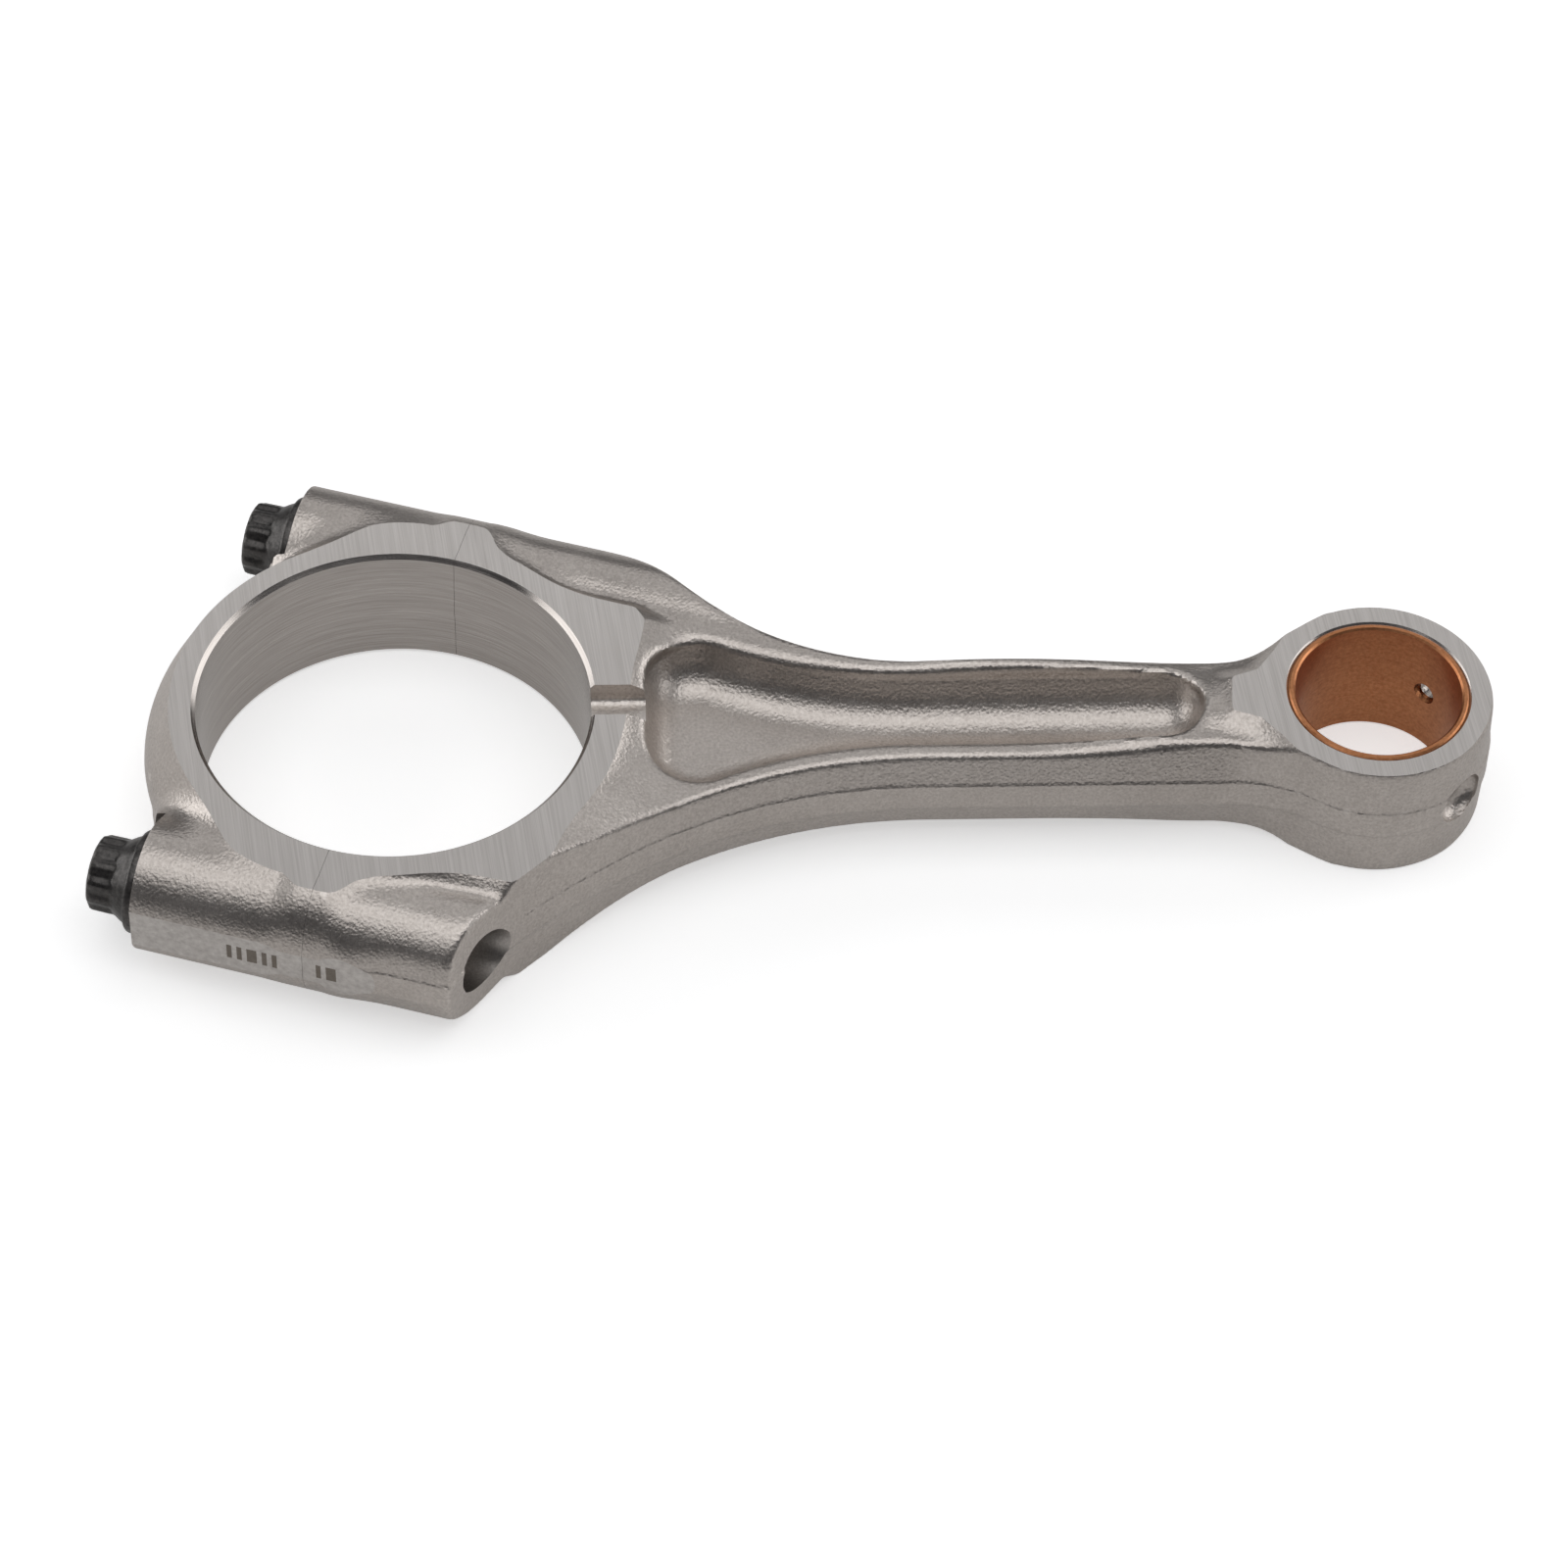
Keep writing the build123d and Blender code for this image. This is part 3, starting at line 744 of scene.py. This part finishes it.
ground_face, tree, shader = metal("ground face")
lines = placed(tree, lined, Lean=radians(-97), Lines_per_metre=4200.0)
patch = placed(tree, mottled, Patches_per_metre=60.0)["Tone"]
colour = mixed(tree, lines["Tone"], (0.56, 0.53, 0.505), (0.72, 0.685, 0.66))
tree.links.new(colour, shader.inputs["Base Color"])
tree.links.new(spread(tree, patch, 0, 1, 0.30, 0.36), shader.inputs["Roughness"])
bump(tree, shader, lines["Height"], 0.012)

bored_wall, tree, shader = metal("bored wall")
place = node(tree, "TexCoord").outputs["Object"]
rings = node(tree, "VectorMath", {0: place, 1: (0.02, 0.02, 1.0)}, operation="MULTIPLY").outputs[0]
lines = noise(tree, rings, 4200.0, 3.0, 0.7)
colour = mixed(tree, spread(tree, lines, 0.3, 0.7), (0.42, 0.385, 0.36), (0.60, 0.56, 0.53))
tree.links.new(colour, shader.inputs["Base Color"])
tree.links.new(spread(tree, lines, 0.3, 0.7, 0.18, 0.28), shader.inputs["Roughness"])
bump(tree, shader, lines, 0.006)

milled_steel, tree, shader = metal("milled steel", 0.38)
grain = placed(tree, blasted, Grain_per_metre=3500.0)
colour = mixed(tree, grain["Tone"], (0.42, 0.39, 0.37), (0.58, 0.55, 0.52))
tree.links.new(colour, shader.inputs["Base Color"])
bump(tree, shader, grain["Height"], 0.012)

cracked_steel, tree, shader = metal("cracked steel", 0.5)
grain = placed(tree, blasted, Grain_per_metre=1500.0)
colour = mixed(tree, grain["Tone"], (0.20, 0.19, 0.18), (0.42, 0.40, 0.39))
tree.links.new(colour, shader.inputs["Base Color"])
bump(tree, shader, grain["Height"], 0.12)

# The near pad also carries laser-etched pairing bars either side of the split: start and width along
# the bolts of each, and their half height.
MARK_BARS = ((-12.0, 0.8), (-10.4, 0.8), (-8.8, 1.6), (-6.4, 0.8), (-4.8, 0.8), (2.2, 0.8), (3.8, 1.6))
MARK_HALF = 1.5
marked_pad, tree, shader = metal("marked pad", 0.34)
lines = placed(tree, lined, Lean=radians(35), Lines_per_metre=3000.0)
pad_steel = mixed(tree, lines["Tone"], (0.46, 0.43, 0.41), (0.66, 0.63, 0.60))
split = node(tree, "TexCoord").outputs["Object"]
turning = {"Vector": split, "Rotation": (0, 0, atan2(-ALONG[1], ALONG[0]))}
straight = node(tree, "VectorRotate", turning, rotation_type="EULER_XYZ").outputs[0]
apart = node(tree, "SeparateXYZ", {0: straight})
bars = 0.0
for start, width in MARK_BARS:
    off = maths(tree, "ABSOLUTE", maths(tree, "SUBTRACT", apart.outputs["X"], (start + width / 2) * MM))
    bar = maths(tree, "LESS_THAN", off, width / 2 * MM)
    bars = maths(tree, "MAXIMUM", bar, bars)
tall = maths(tree, "LESS_THAN", maths(tree, "ABSOLUTE", apart.outputs["Z"]), MARK_HALF * MM)
etched = maths(tree, "MULTIPLY", bars, tall)
colour = mixed(tree, maths(tree, "MULTIPLY", etched, 0.8), pad_steel, (0.11, 0.085, 0.06))
tree.links.new(colour, shader.inputs["Base Color"])
bump(tree, shader, lines["Height"], 0.012)

forged_finishes = [forged_skin, ground_face, bored_wall, milled_steel, cracked_steel, marked_pad]

# ==== Rod =========================================================================================
# The long half of the cracked forging: I-section shank, bushed pin end and the upper half of the
# big end, with the tapped holes for the cap bolts and an oil slot across the upper thrust face.
surfaces(rod, forged_finishes, forged_surfaces)
complete(rod, "rod", "forged_steel", "rod")

# ==== Big-end cap =================================================================================
# The short half of the same forging. Only its own crack face fits the rod's, so the two stay paired;
# the two cap bolts pull it up to the rod.
surfaces(cap, forged_finishes, forged_surfaces)
complete(cap, "cap", "forged_steel", "big_end_cap")

# ==== Pin bush ====================================================================================
# A plain bearing bush of copper-lead bronze, pressed into the pin end, bored to size in place and
# drilled under each oil feed.
BUSH_CHAMFER = 0.3
BUSH_OIL_R = 1.9
bush_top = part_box("small_end_bush")[1].z / MM
inner, outer = bush_top - BUSH_CHAMFER, bush_top - 0.25
bush_loop = [(-inner, PIN_R), (inner, PIN_R), (bush_top, PIN_R + BUSH_CHAMFER), (bush_top, BUSH_R - 0.3),
             (outer, BUSH_R), (-outer, BUSH_R), (-bush_top, BUSH_R - 0.3), (-bush_top, PIN_R + BUSH_CHAMFER)]
bush = turned("pin_bush", bush_loop, 160, at_pin(), arc=2 * pi)
drills = []
for side in (-1, 1):
    drill = [(PIN_R - 3, BUSH_OIL_R), (BUSH_R + 3, BUSH_OIL_R)]
    across = Matrix.Rotation(radians(90), 4, "Y")
    drills.append(turned("bush_drill", drill, 40, at_pin(side * FEED_ANGLE) @ across))
bpy.context.view_layer.update()
cut(bush, drills)

bush_bronze, tree, shader = metal("bush bronze", 0.34)
place = node(tree, "TexCoord").outputs["Object"]
centred = node(tree, "VectorMath", {0: place, 1: (CENTRES * MM, 0, 0)}, operation="SUBTRACT").outputs[0]
rings = node(tree, "VectorMath", {0: centred, 1: (0.05, 0.05, 1.0)}, operation="MULTIPLY").outputs[0]
lines = noise(tree, rings, 3000.0, 2.0, 0.6)
patch = placed(tree, mottled, Patches_per_metre=160.0)["Tone"]
speck = placed(tree, blasted, Grain_per_metre=1700.0)
tone = maths(tree, "ADD", maths(tree, "MULTIPLY", lines, 0.5), maths(tree, "MULTIPLY", speck["Tone"], 0.5))
tree.links.new(mixed(tree, tone, (0.40, 0.15, 0.06), (0.68, 0.31, 0.15)), shader.inputs["Base Color"])
tree.links.new(spread(tree, patch, 0, 1, 0.28, 0.40), shader.inputs["Roughness"])
bump(tree, shader, maths(tree, "ADD", lines, maths(tree, "MULTIPLY", speck["Height"], 0.4)), 0.012)
bush.data.materials.clear()
bush.data.materials.append(bush_bronze)
complete(bush, "rod", "bush_bronze", "small_end_bush")

# ==== Cap bolts ===================================================================================
# Two flanged M9 bolts of black-oxided steel with round-lobed heads, done up through the cap into the
# rod. The shank is waisted between its fitted collar and the rolled thread.
HEAD_END = SEAT_S - 8.7
FLANGE_R = 8.1
THREAD_R = 4.5
WAIST_R = 3.95
BOLT_END = SEAT_S + 45
LOBES = 12
LOBE_ROOT = 5.0              # the recess inside the head stays round
bolt_form = [
    (HEAD_END + 0.9, 1.6), (HEAD_END + 0.7, 2.4), (HEAD_END + 0.25, 3.3), (HEAD_END, 3.6), (HEAD_END, 4.75),
    (HEAD_END + 0.12, 5.25), (HEAD_END + 0.45, 5.55), (HEAD_END + 0.9, 5.68), (HEAD_END + 2.0, 5.7),
    (HEAD_END + 3.6, 5.72), (HEAD_END + 4.0, 5.76), (HEAD_END + 4.3, 5.86), (HEAD_END + 4.7, 6.1),
    (HEAD_END + 5.5, 6.6), (HEAD_END + 6.2, 6.95), (SEAT_S - 2.25, 7.05), (SEAT_S - 2.05, 7.2),
    (SEAT_S - 2.0, 7.55), (SEAT_S - 1.9, 7.83), (SEAT_S - 1.7, 8.0), (SEAT_S - 1.4, FLANGE_R),
    (SEAT_S - 0.5, FLANGE_R), (SEAT_S - 0.15, 8.0),
    (SEAT_S - 0.02, 7.6), (SEAT_S - 0.02, 4.9), (SEAT_S + 0.4, THREAD_R), (SEAT_S + 6.0, THREAD_R),
    (SEAT_S + 7.0, WAIST_R), (-5.6, WAIST_R)]
bolt_form += [(d, WAIST_R) for d in np.arange(-5.0, BOLT_END - 1.3, PITCH / 6)]
bolt_form += [(BOLT_END - 1.0, WAIST_R), (BOLT_END, WAIST_R - 0.9)]
flanks = thread(-4.8, BOLT_END - 1.2, WAIST_R, THREAD_R - WAIST_R, 1.5)


def bolt_shape(angle, distance, r):
    """Lobes round the head and a screw thread at the far end of a plain turned bolt."""
    if distance > SEAT_S:
        return flanks(angle, distance, r)
    rise = min(max((distance - HEAD_END) / 0.5, 0), 1) * min(max((HEAD_END + 4.6 - distance) / 0.8, 0), 1)
    wave = (0.5 + 0.5 * np.cos(LOBES * angle)) ** 0.8
    return r + 0.42 * (wave - 0.35) * rise * (r > LOBE_ROOT)


black_oxide, tree, shader = metal("black oxide", 0.36, 0.75)
grain = placed(tree, blasted, Grain_per_metre=1900.0)
patch = placed(tree, mottled, Patches_per_metre=220.0)["Tone"]
# Painted highlight: convex edges of the bolts are painted brighter.
painted_edge_highlight = placed(tree, painted_edge_group, Sharpness=0.45, Grain=grain["Tone"])["Mask"]
tone = maths(tree, "ADD", maths(tree, "MULTIPLY", grain["Tone"], 0.35), maths(tree, "MULTIPLY", patch, 0.3))
tone = maths(tree, "ADD", tone, painted_edge_highlight, True)
tree.links.new(mixed(tree, tone, (0.030, 0.029, 0.028), (0.16, 0.15, 0.145)), shader.inputs["Base Color"])
tree.links.new(spread(tree, patch, 0, 1, 0.24, 0.38), shader.inputs["Roughness"])
bump(tree, shader, grain["Height"], 0.01)
for label, side in SIDES:
    bolt = turned("bolt_" + label, bolt_form, 120, on_bolt(side), bolt_shape)
    bolt.data.materials.append(black_oxide)
    complete(bolt, "bolt_" + label, "bolt_steel", "cap_bolt_" + label)

# ==== Stage =======================================================================================
# A plain pale table under a studio's soft lights, with the camera high in front of the rod. The table glows
# evenly white to the camera. In the steel it shows as a darker copy of itself, with a painted pool of light
# glowing round the rod that also lights the steel from below.
floor_z = -(FACE_Z + 0.02) * MM
floor = bpy.data.objects.new("table", bpy.data.meshes.new("table"))
corners = [(x, y, floor_z) for x, y in ((-4, -4), (4, -4), (4, 4), (-4, 4))]
floor.data.from_pydata(corners, [], [(0, 1, 2, 3)])
bpy.context.scene.collection.objects.link(floor)
table_white, tree, shader = metal("table white", 0.8, 0.0)
seen = node(tree, "LightPath").outputs["Is Camera Ray"]
# Painted shade: every ray but the camera's sees a darker copy of the table, 0.55 against 0.86.
tree.links.new(mixed(tree, seen, (0.55, 0.54, 0.53), (0.86, 0.86, 0.86)), shader.inputs["Base Color"])
shader.inputs["Emission Color"].default_value = (1, 1, 1, 1)
# Painted light: within half a metre of the rod the table glows for every ray but the camera's. This is a
# painted pool of light that shows in the steel and lights it.
place = node(tree, "NewGeometry").outputs["Position"]
away = node(tree, "VectorMath", {0: place}, operation="LENGTH").outputs["Value"]
painted_light_pool = spread(tree, away, 0.12, 0.5, 0.22, 0.0)
bright = maths(tree, "MULTIPLY", seen, 0.52)
tree.links.new(maths(tree, "MAXIMUM", bright, painted_light_pool), shader.inputs["Emission Strength"])
floor.data.materials.append(table_white)


def soft_light(name, place, target, size, power, colour=(1, 1, 1)):
    """A rectangular softbox aimed at a point."""
    data = bpy.data.lights.new(name, "AREA")
    data.shape = "RECTANGLE"
    data.size, data.size_y = size
    data.energy = power
    data.color = colour
    lamp = bpy.data.objects.new(name, data)
    bpy.context.scene.collection.objects.link(lamp)
    lamp.location = place
    lamp.rotation_euler = (Vector(target) - Vector(place)).to_track_quat("-Z", "Y").to_euler()


middle = (0.06, 0.0, 0.0)
soft_light("overhead box", (0.06, -0.10, 0.95), middle, (1.5, 1.0), 5.6)
soft_light("back box", (0.06, 1.0, 0.85), middle, (1.8, 0.6), 2.6)
soft_light("left box", (-0.95, 0.30, 0.32), middle, (1.1, 0.55), 3.6)
soft_light("right box", (1.07, 0.30, 0.32), middle, (1.1, 0.55), 3.6)
world = bpy.data.worlds.new("studio")
world.use_nodes = True
world.node_tree.nodes["Background"].inputs["Color"].default_value = (0.9, 0.92, 1.0, 1)
world.node_tree.nodes["Background"].inputs["Strength"].default_value = 0.06
bpy.context.scene.world = world
bpy.context.scene.view_settings.view_transform = "Standard"

AZIMUTH, ELEVATION, ROLL = radians(-3.46), radians(49.24), radians(1.93)
target = Vector((0.3945, -0.0528, 0)) * CENTRES * MM
back = Vector((sin(AZIMUTH) * cos(ELEVATION), -cos(AZIMUTH) * cos(ELEVATION), sin(ELEVATION)))
right = Vector((0, 0, 1)).cross(back).normalized()
upward = back.cross(right)
rolled = (cos(ROLL) * right + sin(ROLL) * upward, cos(ROLL) * upward - sin(ROLL) * right, back)
camera = bpy.data.objects.new("camera", bpy.data.cameras.new("camera"))
camera.data.lens = 136.06
camera.data.sensor_width = 36.0
camera.data.clip_end = 20.0
stand = target + back * 6.0196 * CENTRES * MM
camera.matrix_world = Matrix.Translation(stand) @ Matrix(rolled).transposed().to_4x4()
bpy.context.scene.collection.objects.link(camera)
bpy.context.scene.camera = camera
